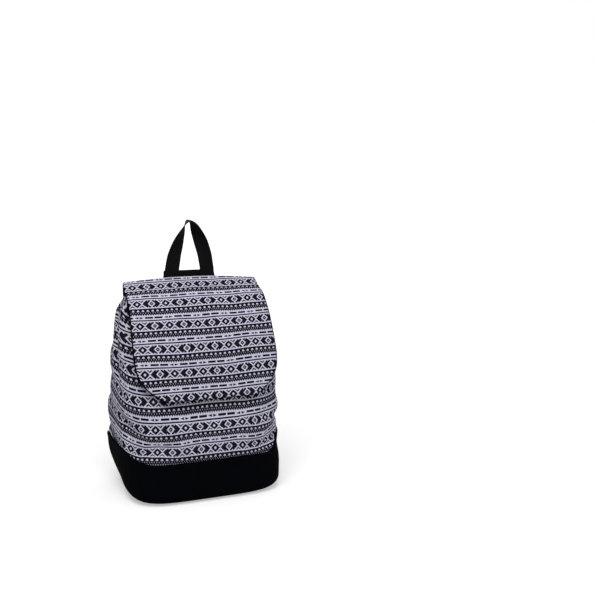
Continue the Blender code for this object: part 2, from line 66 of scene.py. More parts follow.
# The flap
FLAP_GAP = 0.0068
FLAP_TOP_WIDTH, FLAP_WIDTH, FLAP_TIP_WIDTH = 0.227, 0.236, 0.146
FLAP_END_HEIGHT, FLAP_CORNER_LENGTH, FLAP_CORNER_POWER = 0.165, 0.080, 3.2
FLAP_TAIL, FLAP_TOP_RISE, FLAP_BEND = 0.020, 0.005, 0.006
FLAP_EDGE_DROP, FLAP_DROP_LENGTH = 0.006, 0.080

# Webbing, the carry handle and its anchor band
WEBBING_WIDTH, WEBBING = 0.025, 0.0014
CLEARANCE = 0.0003
HANDLE_PEAK, HANDLE_SPREAD, HANDLE_PEAK_RADIUS = 0.438, 0.061, 0.007
HANDLE_LEG, HANDLE_TWIST_POWER = ((0.86, 0.30), (0.60, 0.60)), 2.2
HANDLE_Y = BACK_TOP_Y + 0.0025
ANCHOR_WIDTH, ANCHOR_TOP = 0.088, 0.355
ANCHOR_BOTTOM = ANCHOR_TOP - WEBBING_WIDTH
STRAP_TOP_Y = HANDLE_Y + WEBBING + CLEARANCE
ANCHOR_Y = STRAP_TOP_Y + WEBBING + CLEARANCE

# The shoulder straps
STRAP_TURN = math.radians(14)
STRAP_TOP_Z = 0.351
FLAT_LENGTH, STRAP_BOW_LENGTH, STRAP_BOW = 0.0251, 0.064, 0.018
STRAP_RUN, SLIDER_PLACE = 0.1722, 0.1082
RUN_DOWN = Vector((0.9891, 0.1474))
RETURN_START = STRAP_RUN - 0.012
RING_SPACING, RING_WIRE, RING_CORNER = 0.015, 0.003, 0.0028
SLIDER_BAR, END_LOOP_LENGTH = 0.0024, 0.026
TAB_HEEL, TAB_FOOT = 0.019, 0.020

# The pattern, woven in repeats that are this wide and this high
REPEAT_WIDTH, REPEAT_HEIGHT = 0.0465, 0.0425
WEAVE_CELLS = 72

# Waves of soft cloth: the height, the seed, and how wide each bump is
WALL_WAVE, WALL_FINE_WAVE = (0.0010, 1.7, 0.045), (0.0006, 5.2, 0.022)
SIDE_FOLD = (0.0040, 9.4, 0.026)
FLAP_WAVE, FLAP_FINE_WAVE = (0.0024, 3.1, 0.060), (0.0012, 7.7, 0.030)
BASE_WAVE, BASE_PUCKER = (0.0014, 2.3, 0.040), (0.0007, 8.8, 0.009)
WALL_ROW_SHEAR, FLAP_ROW_SHEAR = (0.0014, 6.1, 0.050), (0.0022, 4.4, 0.055)


def share_between(value, low, high):
    return min(max((value - low) / (high - low), 0.0), 1.0)


def smooth_share(value, low, high):
    t = share_between(value, low, high)
    return t * t * (3 - 2 * t)


def hump(value, grows, fades):
    """A form that grows over one stretch of the value and fades over the next."""
    return smooth_share(value, *grows) * (1 - smooth_share(value, *fades))


def running_length(points):
    """The length along a line up to each of its points."""
    steps = np.linalg.norm(np.diff(np.array(points, float), axis=0), axis=1)
    return np.concatenate([[0.0], np.cumsum(steps)])


def ripple(wave, x, y):
    """The height of a wave at a place on a surface."""
    height, seed, size = wave
    return height * noise.noise(Vector((x / size, y / size, seed)))


# The body's outer surface
def front_y(height):
    t = share_between(height, LEAN_START, MOUTH_HEIGHT)
    return -BODY_DEPTH / 2 + (BODY_DEPTH - BACK_LEAN - MOUTH_DEPTH) * (1 - (1 - t**LEAN_POWER) ** LEAN_EASE)


def back_y(height):
    return BODY_DEPTH / 2 - BACK_LEAN * smooth_share(height, BACK_LEAN_LOW, BACK_LEAN_HIGH)


def half_width(height):
    up = share_between(height, 0.0, MOUTH_HEIGHT)
    return (BASE_WIDTH + (TOP_WIDTH - BASE_WIDTH) * up**TAPER_POWER) / 2


sections = {}


def half_section(height, grow):
    """The right half of the outline at a height: its points, the length to each, and to the back corner."""
    key = (round(height, 6), round(grow, 6))
    if key not in sections:
        widest = back_y(height) - BACK_CORNER
        angle = np.linspace(-math.pi / 2, math.pi / 2, 361)
        power = 2 / np.where(angle < 0, FRONT_ROUNDNESS, BACK_ROUNDNESS)
        reach = np.where(angle < 0, widest - front_y(height), BACK_CORNER) + grow
        x = (half_width(height) + grow) * np.abs(np.cos(angle)) ** power
        y = widest + reach * np.sign(np.sin(angle)) * np.abs(np.sin(angle)) ** power
        x[0] = x[-1] = 0.0
        length = np.concatenate([[0.0], np.cumsum(np.hypot(np.diff(x), np.diff(y)))])
        sections[key] = x, y, length, np.interp(math.pi / 4, angle, length)
    return sections[key]


def settled(point):
    """The soft top hangs lower at its two corners than over the handle."""
    up = share_between(point.z, SETTLE_START, BACK_HEIGHT)
    return point - Vector((0, 0, TOP_SETTLE * up * (2 * point.x / TOP_WIDTH) ** 2))


def wall_point(q, height, grow=0.0, gap=SEAM_GAP, behind=False):
    """A point of the front and sides, or of the back. q is 0 at its middle and 1 at the right back corner."""
    x, y, length, corner = half_section(height, grow)
    at = abs(q) * (corner - gap / 2)
    if behind:
        at = length[-1] - abs(q) * (length[-1] - corner - gap / 2)
    return settled(Vector((math.copysign(np.interp(at, length, x), q), np.interp(at, length, y), height)))


def front_profile(height):
    step = 0.001
    low, high = height - step, min(height + step, MOUTH_HEIGHT)
    along = Vector((0, front_y(high) - front_y(low), high - low)).normalized()
    return Vector((0, front_y(height), height)), Vector((0, -along.z, along.y))


# Making pieces
def finished_mesh(bm, name):
    mesh = bpy.data.meshes.new(name)
    bm.to_mesh(mesh)
    bm.free()
    return mesh


def linked(name, data):
    thing = bpy.data.objects.new(name, data)
    bpy.context.scene.collection.objects.link(thing)
    return thing


def new_piece(mesh, look, body, slot, *nodes):
    """Makes a mesh a piece that rides on a body and stands for CAD nodes."""
    piece = linked(mesh.name, mesh)
    mesh.materials.append(look)
    mesh.shade_smooth()
    if body:
        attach(piece, body)
    if nodes:
        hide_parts(*nodes)
    return piece


def set_cloth_places(bm, layer, flat):
    """Gives each corner of a face its place on the cut cloth, in metres."""
    for face in bm.faces:
        for loop in face.loops:
            loop[layer].uv = flat[loop.vert]


def cloth_grid(name, across, along, place, flat_place):
    """A grid of points q and r from -1 to 1. place puts a point in space, and flat_place on the cut cloth."""
    bm = bmesh.new()
    bmesh.ops.create_grid(bm, x_segments=across, y_segments=along, size=1)
    layer = bm.loops.layers.uv.new("cloth")
    flat = {}
    for vert in bm.verts:
        q, r = vert.co.x, vert.co.y
        vert.co = place(q, r)
        flat[vert] = flat_place(q, r)
    set_cloth_places(bm, layer, flat)
    return finished_mesh(bm, name)


def thicken(piece, thickness, side, levels=1):
    """Gives a sheet its thickness, then smooths it. side is -1 behind the faces and 0 about them."""
    wall = piece.modifiers.new("thickness", "SOLIDIFY")
    wall.thickness, wall.offset, wall.use_even_offset = thickness, side, True
    if levels:
        smooth = piece.modifiers.new("smooth", "SUBSURF")
        smooth.levels = smooth.render_levels = levels


class Path:
    """A smooth line read by its length."""

    STEP = 0.0005

    def __init__(self, points, smooth=0.0):
        points = np.array([tuple(point) for point in points], float)
        length = running_length(points)
        self.total = length[-1]
        count = max(int(self.total / self.STEP), 8)
        self.at = np.linspace(0, self.total, count + 1)
        self.points = np.stack([np.interp(self.at, length, axis) for axis in points.T], axis=1)
        if smooth:
            reach = max(int(smooth * count / self.total), 1)
            weight = np.hanning(2 * reach + 3)[1:-1]
            padded = np.concatenate([
                2 * self.points[0] - self.points[reach:0:-1], self.points,
                2 * self.points[-1] - self.points[-2:-reach - 2:-1]])
            weight = weight / weight.sum()
            self.points = np.stack([np.convolve(axis, weight, "valid") for axis in padded.T], axis=1)

    def point(self, place):
        return Vector([np.interp(place, self.at, axis) for axis in self.points.T])

    def direction(self, place):
        step = self.total / 400
        return (self.point(min(place + step, self.total)) - self.point(max(place - step, 0))).normalized()


CLOTH_STIFFNESS, CLOTH_WEIGHT = 6.0, 0.12


def set_free(piece, pinned, frames, growth, push, cap):
    """Lets a sheet settle as cloth, held where pinned is 1. Its points move by cap metres at most."""
    before = [vert.co.copy() for vert in piece.data.vertices]
    held = piece.vertex_groups.new(name="held")
    for vert in piece.data.vertices:
        held.add([vert.index], pinned(vert.co), "REPLACE")
    cloth = piece.modifiers.new("cloth", "CLOTH")
    settings = cloth.settings
    settings.quality, settings.mass = 6, 0.25
    settings.tension_stiffness = settings.compression_stiffness = CLOTH_STIFFNESS * 2
    settings.shear_stiffness, settings.bending_stiffness = CLOTH_STIFFNESS, 0.05
    settings.vertex_group_mass = "held"
    settings.shrink_min = settings.shrink_max = -growth
    settings.use_pressure, settings.uniform_pressure_force = True, push
    settings.air_damping = 4.0
    settings.effector_weights.gravity = CLOTH_WEIGHT
    cloth.collision_settings.use_self_collision = False
    cloth.collision_settings.use_collision = False
    cloth.point_cache.frame_start, cloth.point_cache.frame_end = 1, frames
    scene = bpy.context.scene
    for number in range(1, frames + 1):
        scene.frame_set(number)
    shape = piece.evaluated_get(bpy.context.evaluated_depsgraph_get())
    after = [vert.co.copy() for vert in shape.data.vertices]
    piece.modifiers.remove(cloth)
    piece.vertex_groups.remove(held)
    scene.frame_set(1)
    for vert, start, end in zip(piece.data.vertices, before, after):
        move = end - start
        if move.length > cap:
            move *= cap / move.length
        vert.co = start + move
    piece.data.update()


# Colour and weave, worked out in shader nodes
class Field:
    """A number that changes over a surface, as a node's output."""

    def __init__(self, tree, socket):
        self.tree, self.socket = tree, socket

    def math(self, kind, *others, clamp=False):
        node = self.tree.nodes.new("ShaderNodeMath")
        node.operation, node.use_clamp = kind, clamp
        for number, value in enumerate((self, *others)):
            if isinstance(value, Field):
                self.tree.links.new(value.socket, node.inputs[number])
            else:
                node.inputs[number].default_value = value
        return Field(self.tree, node.outputs[0])

    def __add__(self, other):
        return self.math("ADD", other)

    def __sub__(self, other):
        return self.math("SUBTRACT", other)

    def __mul__(self, other):
        return self.math("MULTIPLY", other)

    def __truediv__(self, other):
        return self.math("DIVIDE", other)

    def __lt__(self, other):
        return self.math("LESS_THAN", other)

    def __gt__(self, other):
        return self.math("GREATER_THAN", other)

    def between(self, low, high):
        return (self > low) * (self < high)

    def size(self):
        return self.math("ABSOLUTE")

    def most(self, other):
        return self.math("MAXIMUM", other)

    def less(self, other):
        """This mask without another one."""
        return (self - other).math("MAXIMUM", 0.0)

    def near(self, count):
        """How far the value, times count, is from its nearest whole number."""
        return ((self * count + 0.5).math("FRACT") - 0.5).size()

    def arch(self):
        """A round hump, once for every whole number."""
        return (self.math("FRACT") * math.pi).math("SINE")

    def in_cells(self):
        """The value in the steps of the loom."""
        return (self * WEAVE_CELLS).math("ROUND") / WEAVE_CELLS


def new_group(name, inputs, outputs):
    """A shader node group. inputs and outputs map each socket's name to its kind and value."""
    tree = bpy.data.node_groups.new(name, "ShaderNodeTree")
    for label, (kind, value) in inputs.items():
        socket = tree.interface.new_socket(name=label, in_out="INPUT", socket_type=kind)
        if value is not None:
            socket.default_value = value
    for label, kind in outputs.items():
        tree.interface.new_socket(name=label, in_out="OUTPUT", socket_type=kind)
    return tree, tree.nodes.new("NodeGroupInput"), tree.nodes.new("NodeGroupOutput")


def give(node, **fields):
    """Joins fields to the inputs of a node that have their names."""
    for label, field in fields.items():
        field.tree.links.new(field.socket, node.inputs[label])


NUMBER, VECTOR = "NodeSocketFloat", "NodeSocketVector"


def split(tree, socket):
    node = tree.nodes.new("ShaderNodeSeparateXYZ")
    tree.links.new(socket, node.inputs[0])
    return Field(tree, node.outputs[0]), Field(tree, node.outputs[1])


def joined(tree, x, y):
    node = tree.nodes.new("ShaderNodeCombineXYZ")
    tree.links.new(x.socket, node.inputs[0])
    tree.links.new(y.socket, node.inputs[1])
    return node.outputs[0]


def set_inputs(node, values):
    for label, value in values.items():
        node.inputs[label].default_value = value


def speckle(tree, socket, scale, detail=2.0, roughness=0.5):
    """Noise from 0 to 1."""
    node = tree.nodes.new("ShaderNodeTexNoise")
    tree.links.new(socket, node.inputs["Vector"])
    set_inputs(node, {"Scale": scale, "Detail": detail, "Roughness": roughness})
    return Field(tree, node.outputs["Fac"])


def make_woven_pattern():
    """The geometric pattern: 1 where the dark yarn shows. It reads the cloth's own flat place in metres.

    Its numbers are shares of one repeat. across is from the middle of a small diamond, beside from the middle
    of a large one, and down is below the middle of their row.
    """
    tree, inside, outside = new_group("woven_pattern", {"Cloth": (VECTOR, None)}, {"Dark": NUMBER})
    flat_u, flat_v = split(tree, inside.outputs["Cloth"])
    u, v = (flat_u / REPEAT_WIDTH).in_cells(), (flat_v / REPEAT_HEIGHT * -1).in_cells()
    across = u.near(1)
    down = (v + 0.19).math("FRACT") - 0.19
    up = down.size() * (REPEAT_HEIGHT / REPEAT_WIDTH)

    small = across + up
    small_diamond = small.between(0.054, 0.162)
    cross = up - (across - 0.1625).size()
    chevron = cross.between(0.054, 0.114) * (up < 0.156)
    beside = (across * -1) + 0.5
    large = beside + up
    notch = ((beside - 0.117).size() < 0.015) * (up > 0.125)
    arrow = (large.between(0.136, 0.328) * (up < 0.160) * (beside > 0.026)).less(notch)
    eye = large.between(0.020, 0.080)
    diamonds = small_diamond.most(chevron).most(arrow).most(eye) * (down.size() < 0.185)

    sixth, twelfth = u.near(6), u.near(12)
    dome_high = (down * -1 + 0.36) / 0.080
    dome_wide = sixth / 0.300
    dome = (dome_high + dome_wide * dome_wide < 1.0) * (down < 0.36)
    tick = (twelfth < 0.12) * down.between(0.400, 0.442)
    ground = down.between(0.222, 0.485).less(dome.most(tick))
    teeth = down.between(0.47, 0.546) * ((down - 0.485) / 0.061 + twelfth * 2 < 1.0)
    point = across.between(0.014, 0.15) * ((down - 0.636).size() * 2.6 + across < 0.155)
    dash = across.between(0.200, 0.486) * down.between(0.592, 0.676)
    line = down.between(0.734, 0.782)
    dark = diamonds.most(ground).most(teeth).most(point).most(dash).most(line)
    give(outside, Dark=dark)
    return tree


def make_thread_weave():
    """Interlaced threads: their height and how light each one is, from a flat place in metres."""
    inputs = {"Cloth": (VECTOR, None), "Pitch": (NUMBER, 0.00065)}
    tree, inside, outside = new_group("thread_weave", inputs, {"Height": NUMBER, "Shade": NUMBER})
    pitch = Field(tree, inside.outputs["Pitch"])
    x, y = split(tree, inside.outputs["Cloth"])
    x, y = x / pitch, y / pitch
    column, row = x.math("FLOOR"), y.math("FLOOR")
    over = (column + row).math("MODULO", 2.0).size()
    height = over * x.arch() + (over * -1 + 1) * y.arch()
    shade = speckle(tree, joined(tree, column * 0.37, row * 0.37), 1.0, 1.0)
    give(outside, Height=height, Shade=shade)
    return tree


def make_webbing_ribs():
    """The ribbed face of woven webbing. Its cloth place has x across the webbing and y along it."""
    outputs = {"Height": NUMBER, "Shade": NUMBER}
    tree, inside, outside = new_group("webbing_ribs", {"Cloth": (VECTOR, None)}, outputs)
    x, y = split(tree, inside.outputs["Cloth"])
    rib = 0.0016
    lean = (x / rib).near(1)
    ribs = (y / rib + lean * 0.8).arch()
    cords = (x / rib * 2).arch()
    shade = speckle(tree, inside.outputs["Cloth"], 900.0, 1.0)
    give(outside, Height=ribs * 0.7 + cords * 0.3, Shade=shade)
    return tree


def make_wear():
    """Lint and light rubbing, from 0 to 1 over a piece, in cloudy patches with fine fibres."""
    tree, inside, outside = new_group("lint_and_wear", {"Amount": (NUMBER, 0.5)}, {"Mask": NUMBER})
    place = tree.nodes.new("ShaderNodeTexCoord").outputs["Object"]
    cloud = speckle(tree, place, 22.0, 4.0, 0.6)
    fibre = speckle(tree, place, 1400.0, 1.0)
    fibres = (fibre - 0.60).math("MULTIPLY", 6.0, clamp=True)
    mask = (cloud * 0.7 + fibres * 0.6) * Field(tree, inside.outputs["Amount"])
    give(outside, Mask=mask.math("MINIMUM", 1.0))
    return tree


woven_pattern = make_woven_pattern()
thread_weave = make_thread_weave()
webbing_ribs = make_webbing_ribs()
lint_and_wear = make_wear()


def linear(*srgb):
    """A colour as it is written, from 0 to 255, as the shader takes it."""
    shares = [value / 255 for value in srgb]
    return tuple(c / 12.92 if c <= 0.04045 else ((c + 0.055) / 1.055) ** 2.4 for c in shares) + (1.0,)


class Look:
    """A material with one Principled shader, and the means to join things to it."""

    def __init__(self, name, roughness, metallic=0.0, sheen=0.0, specular=0.5):
        self.material = bpy.data.materials.new(name)
        self.material.use_nodes = True
        self.tree = self.material.node_tree
        self.shader = self.tree.nodes["Principled BSDF"]
        set_inputs(self.shader, {
            "Roughness": roughness, "Metallic": metallic, "Specular IOR Level": specular,
            "Sheen Weight": sheen, "Sheen Roughness": 0.5})
        self.place = self.tree.nodes.new("ShaderNodeTexCoord").outputs["Object"]

    def cloth_place(self):
        node = self.tree.nodes.new("ShaderNodeUVMap")
        node.uv_map = "cloth"
        return node.outputs["UV"]

    def group(self, tree, **values):
        """Joins a node group, and gives its outputs by their names."""
        node = self.tree.nodes.new("ShaderNodeGroup")
        node.node_tree = tree
        for label, value in values.items():
            if isinstance(value, (int, float)):
                node.inputs[label].default_value = value
            else:
                self.tree.links.new(value, node.inputs[label])
        return {socket.name: Field(self.tree, socket) for socket in node.outputs}

    def mix(self, share, first, second):
        """first where share is 0 and second where it is 1. Each is a colour or an output."""
        node = self.tree.nodes.new("ShaderNodeMix")
        node.data_type = "RGBA"
        give(node, Factor=share)
        for label, value in ((6, first), (7, second)):
            if isinstance(value, tuple):
                node.inputs[label].default_value = value
            else:
                self.tree.links.new(value, node.inputs[label])
        return node.outputs[2]

    def colour(self, socket):
        self.tree.links.new(socket, self.shader.inputs["Base Color"])

    def roughness(self, field):
        give(self.shader, Roughness=field)

    def bump(self, field, distance, strength=1.0):
        node = self.tree.nodes.new("ShaderNodeBump")
        set_inputs(node, {"Strength": strength, "Distance": distance})
        give(node, Height=field)
        self.tree.links.new(node.outputs["Normal"], self.shader.inputs["Normal"])


def make_patterned_cloth():
    look = Look("patterned_cloth", 0.92, specular=0.03)
    flat = look.cloth_place()
    dark = look.group(woven_pattern, Cloth=flat)["Dark"]
    weave = look.group(thread_weave, Cloth=flat, Pitch=REPEAT_WIDTH / WEAVE_CELLS)
    shade, height = weave["Shade"], weave["Height"]
    pale = look.mix(shade, linear(203, 201, 227), linear(242, 239, 255))
    deep = look.mix(shade, linear(6, 5, 14), linear(20, 18, 34))
    yarn = look.mix(dark, pale, deep)
    shaded = look.mix(height * 0.14 + 0.86, linear(30, 27, 42), yarn)
    lint = look.group(lint_and_wear, Amount=0.06)["Mask"]
    look.colour(look.mix(lint, shaded, linear(150, 146, 160)))
    look.roughness(shade * 0.12 + 0.80)
    look.bump(height - dark * 0.25, 0.00016)
    return look.material


def make_black_cloth(name, ground, light, pitch, roughness, lint_amount):
    look = Look(name, roughness, specular=0.015)
    weave = look.group(thread_weave, Cloth=look.cloth_place(), Pitch=pitch)
    shade, height = weave["Shade"], weave["Height"]
    # Thread tops are lighter and the gaps between threads darker: painted shade in the weave, mixed with each
    # thread's own random tone.
    threads = look.mix(shade * height, ground, light)
    lint = look.group(lint_and_wear, Amount=lint_amount)["Mask"]
    look.colour(look.mix(lint, threads, linear(44, 43, 50)))
    look.roughness(shade * 0.14 + (roughness - 0.07))
    look.bump(height, 0.00014)
    return look.material


def make_black_webbing():
    look = Look("black_webbing", 0.75, specular=0.06)
    ribs = look.group(webbing_ribs, Cloth=look.cloth_place())
    shade, height = ribs["Shade"], ribs["Height"]
    # Rib tops are lighter and the gaps between ribs darker: painted shade in the weave, mixed with a random
    # tone.
    yarn = look.mix(shade * height, linear(3, 3, 5), linear(20, 20, 26))
    lint = look.group(lint_and_wear, Amount=0.07)["Mask"]
    look.colour(look.mix(lint, yarn, linear(50, 49, 56)))
    look.roughness(shade * 0.2 + 0.52)
    look.bump(height, 0.00035)
    return look.material


def make_nickel():
    look = Look("nickel", 0.22, metallic=1.0)
    smudge = speckle(look.tree, look.place, 60.0, 4.0, 0.6)
    scuffs = speckle(look.tree, look.place, 900.0, 2.0)
    look.colour(look.mix(smudge, linear(196, 193, 186), linear(224, 222, 217)))
    look.roughness(smudge * 0.16 + scuffs * 0.10 + 0.12)
    look.bump(scuffs, 0.00002, 0.5)
    return look.material


def make_black_plastic():
    look = Look("black_plastic", 0.42)
    grain = speckle(look.tree, look.place, 2600.0, 2.0)
    smudge = speckle(look.tree, look.place, 90.0, 3.0)
    look.colour(look.mix(smudge, linear(10, 10, 12), linear(26, 26, 29)))
    look.roughness(smudge * 0.18 + grain * 0.12 + 0.30)
    look.bump(grain, 0.00003)
    return look.material


def make_thread():
    look = Look("black_thread", 0.55, sheen=0.1)
    twist = speckle(look.tree, look.place, 3200.0, 2.0)
    look.colour(look.mix(twist, linear(8, 8, 11), linear(34, 33, 40)))
    look.bump(twist, 0.00004)
    return look.material


patterned_cloth = make_patterned_cloth()
black_canvas = make_black_cloth("black_canvas", linear(2, 3, 5), linear(11, 12, 18), 0.0008, 0.94, 0.06)
black_lining = make_black_cloth("black_lining", linear(3, 3, 5), linear(14, 14, 19), 0.0005, 0.90, 0.05)
black_webbing = make_black_webbing()
nickel = make_nickel()
black_plastic = make_black_plastic()
black_thread = make_thread()


# The body's cloth
WRAP_ROWS_AT = 0.0176
ROW_CLIMB_LEFT, ROW_CLIMB_RIGHT = 0.021, 0.025
SEAM_RISE_LEFT, SEAM_RISE_RIGHT = 0.015, 0.027
LEFT_SLUMP, ROW_TUCK, SIDE_TUCK = 0.0105, 0.0052, 0.0055
WALL_HALF_GIRTH, BASE_HALF_GIRTH, MOUTH_HALF_GIRTH = 0.29, 0.40, 0.16
WAVE_SINK, CLOTH_THICKNESS = 0.0006, 0.0014

# Shares of the way round from the middle of the front, or of the back, to the back corner
SWEEP_LEFT, SWEEP_RIGHT, SWEEP_BEHIND = (0.34, 0.62), (0.33, 0.52), (0.85, 1.0)
FOLDS_ROUND, CLIMB_ROUND, SLUMP_ROUND, TUCK_ROUND = (0.42, 0.62), (0.42, 0.95), (0.48, 0.70), (0.33, 0.48)
FOLDS_END, SLUMP_END, TUCK_END = (0.93, 1.0), (0.95, 1.0), (0.80, 1.0)

# Heights between which a form grows or fades
SLUMP_GROWS, SLUMP_FADES = (0.15, 0.28), (0.300, MOUTH_HEIGHT)
TUCK_GROWS, TUCK_FADES = (0.040, 0.080), (0.15, 0.23)
WAVES_FADE, ROW_TUCK_FADES = (0.30, MOUTH_HEIGHT), (0.080, 0.125)


def base_seam(q, behind=False):
    """The height of the seam above the base. It sweeps up round the sides and comes down again behind."""
    rise, sweep = (SEAM_RISE_LEFT, SWEEP_LEFT) if q < 0 else (SEAM_RISE_RIGHT, SWEEP_RIGHT)
    return BASE_HEIGHT + rise * smooth_share(abs(q), *(SWEEP_BEHIND if behind else sweep))


def side_tuck(q, height):
    """How far the right side is drawn in, above and below the base's seam."""
    return SIDE_TUCK * hump(q, TUCK_ROUND, TUCK_END) * hump(height, TUCK_GROWS, TUCK_FADES)


columns = {}


def cloth_below(q, height, top, behind=False):
    """The length of cloth below a height, up one column of a wall from the lowest height of its seam."""
    key = round(abs(q), 5), behind
    if key not in columns:
        heights = np.linspace(BASE_HEIGHT + SEAM_GAP, top, 81)
        points = [tuple(wall_point(key[0], at, behind=behind)) for at in heights]
        columns[key] = heights, running_length(points)
    return np.interp(height, *columns[key])


def make_front_and_sides():
    """The patterned cloth round the front and both sides, with its folds and its slumped left side."""

    def height_at(q, r):
        seam = base_seam(q) + SEAM_GAP
        return seam + (MOUTH_HEIGHT - seam) * (1 - (1 - share_between(r, -1, 1)) ** LEAN_POWER)

    def place(q, r):
        height, seam = height_at(q, r), base_seam(q)
        point = wall_point(q, height)
        outward = (wall_point(q, height, 0.01) - point).normalized()
        free = hump(height, (seam, seam + 0.02), WAVES_FADE) * (1 - smooth_share(abs(q), *FOLDS_END))
        arc = q * WALL_HALF_GIRTH
        waves = ripple(WALL_WAVE, arc, height * 0.8) + ripple(WALL_FINE_WAVE, arc, height)
        fold = ripple(SIDE_FOLD, arc * 0.5 + height * 0.9, height * 0.35 - arc * 0.3)
        fold *= smooth_share(abs(q), *FOLDS_ROUND)
        slump = LEFT_SLUMP * hump(height, SLUMP_GROWS, SLUMP_FADES) * hump(-q, SLUMP_ROUND, SLUMP_END)
        return point + outward * (free * (waves + fold - WAVE_SINK) + slump - side_tuck(q, height))

    def flat_place(q, r):
        height = height_at(q, r)
        length = half_section(height, 0.0)[3]
        climb = (ROW_CLIMB_LEFT if q < 0 else ROW_CLIMB_RIGHT) * smooth_share(abs(q), *CLIMB_ROUND)
        tuck = ROW_TUCK * (1 - smooth_share(height, *ROW_TUCK_FADES))
        up = cloth_below(q, height, MOUTH_HEIGHT) - WRAP_ROWS_AT - climb - tuck
        return q * length, up + ripple(WALL_ROW_SHEAR, q * length, height)

    mesh = cloth_grid("front_and_sides_cloth", 168, 72, place, flat_place)
    piece = new_piece(mesh, patterned_cloth, "bag", "patterned_cloth", "front_and_sides")
    edge = [tuple(place(side, r)) for side in (-1, 1) for r in np.linspace(-1, 1, 73)]
    edge += [tuple(place(q, -1)) for q in np.linspace(-1, 1, 169)]
    edge = np.array(edge)

    def pinned(co):
        near_mouth = co.z > MOUTH_HEIGHT - 0.012 - TOP_SETTLE * (2 * co.x / TOP_WIDTH) ** 2
        return float(near_mouth or np.min(np.linalg.norm(edge - np.array(co), axis=1)) < 0.004)

    set_free(piece, pinned, frames=24, growth=0.020, push=7.0, cap=0.0050)
    thicken(piece, CLOTH_THICKNESS, -1)


def make_back():
    """The patterned cloth of the back, which leans forward to the mouth."""

    def height_at(q, r):
        seam = base_seam(-q, behind=True) + SEAM_GAP
        return seam + (BACK_HEIGHT - seam) * share_between(r, -1, 1)

    def place(q, r):
        return wall_point(-q, height_at(q, r), behind=True)

    def flat_place(q, r):
        height = height_at(q, r)
        x, y, length, corner = half_section(height, 0.0)
        return q * (length[-1] - corner), cloth_below(q, height, BACK_HEIGHT, behind=True) - WRAP_ROWS_AT

    mesh = cloth_grid("back_cloth", 64, 72, place, flat_place)
    piece = new_piece(mesh, patterned_cloth, "bag", "patterned_cloth", "back_panel")

    def pinned(co):
        near_side = half_width(co.z) - abs(co.x) < 0.008
        return float(co.z < BASE_HEIGHT + SEAM_GAP + 0.002 or co.z > MOUTH_HEIGHT - 0.004 or near_side)

    set_free(piece, pinned, frames=20, growth=0.012, push=2.5, cap=0.003)
    thicken(piece, CLOTH_THICKNESS, -1)


BASE_REAR_TAPER, BASE_TAPER_POWER = 0.24, 2.0
STRAIGHT_FROM, TAPER_TO = BASE_EDGE_RADIUS + 0.004, 0.066


def make_base():
    """The black canvas tub, its top edge folded under and lapped over the patterned cloth."""
    profile = [(BASE_HEIGHT + 0.0002, BASE_FLARE - 0.0009), (BASE_HEIGHT, BASE_FLARE + 0.0002)]
    profile += [(BASE_HEIGHT - 0.002, BASE_FLARE + 0.0008), (BASE_HEIGHT - 0.006, BASE_FLARE)]
    profile += [(height, BASE_FLARE) for height in np.linspace(0.058, STRAIGHT_FROM, 9)]
    for bend in np.linspace(0, math.pi / 2, 9):
        inward = BASE_EDGE_RADIUS * (1 - math.cos(bend))
        profile.append((BASE_EDGE_RADIUS * (1 - math.sin(bend)), BASE_FLARE - inward))
    lengths = running_length(profile)

    def outline(turn, height, grow):
        x, y, length, corner = half_section(height, grow)
        at = abs(turn) * length[-1]
        behind = at > corner
        q = math.copysign((length[-1] - at) / (length[-1] - corner) if behind else at / corner, turn)
        raised = base_seam(q, behind) - BASE_HEIGHT
        lifted = height + raised * share_between(height, STRAIGHT_FROM, BASE_HEIGHT)
        point = wall_point(q, lifted, grow, 0.0, behind)
        square = (wall_point(q, lifted, grow + 0.01, 0.0, behind) - point).normalized()
        point -= square * (0.0 if behind else side_tuck(q, lifted))
        rear = share_between(point.y, -0.080, 0.075)
        rear *= (1 - share_between(height, 0.0, TAPER_TO)) ** BASE_TAPER_POWER
        point.x *= 1 - BASE_REAR_TAPER * rear
        outward = Vector((point.x, point.y - 0.01, 0)).normalized()
        arc = turn * BASE_HALF_GIRTH
        soft = hump(height, (0.004, 0.03), (0.055, 0.066))
        near_seam = hump(height, (0.030, 0.062), (0.063, 0.067))
        wave = ripple(BASE_WAVE, arc, height) - WAVE_SINK
        return point + outward * (soft * wave + near_seam * ripple(BASE_PUCKER, arc, height * 0.3))

    bm = bmesh.new()
    bmesh.ops.create_grid(bm, x_segments=256, y_segments=len(profile) - 1, size=1)
    layer = bm.loops.layers.uv.new("cloth")
    flat = {}
    for vert in bm.verts:
        turn, row = vert.co.x, round((1 - vert.co.y) / 2 * (len(profile) - 1))
        height, grow = profile[row]
        flat[vert] = (turn * BASE_HALF_GIRTH, -lengths[row])
        vert.co = outline(turn, height, grow)
    set_cloth_places(bm, layer, flat)
    bmesh.ops.remove_doubles(bm, verts=bm.verts, dist=0.00005)
    rim = [edge for edge in bm.edges if edge.is_boundary and edge.verts[0].co.z < 0.001]
    made = bmesh.ops.contextual_create(bm, geom=rim)
    for face in made["faces"]:
        for loop in face.loops:
            loop[layer].uv = (loop.vert.co.x, loop.vert.co.y)
    bmesh.ops.inset_region(bm, faces=made["faces"], thickness=0.012)
    bmesh.ops.recalc_face_normals(bm, faces=bm.faces)
    piece = new_piece(finished_mesh(bm, "base_tub"), black_canvas, "bag", "black_canvas", "base_panel")
    thicken(piece, 0.0016, -1, 0)


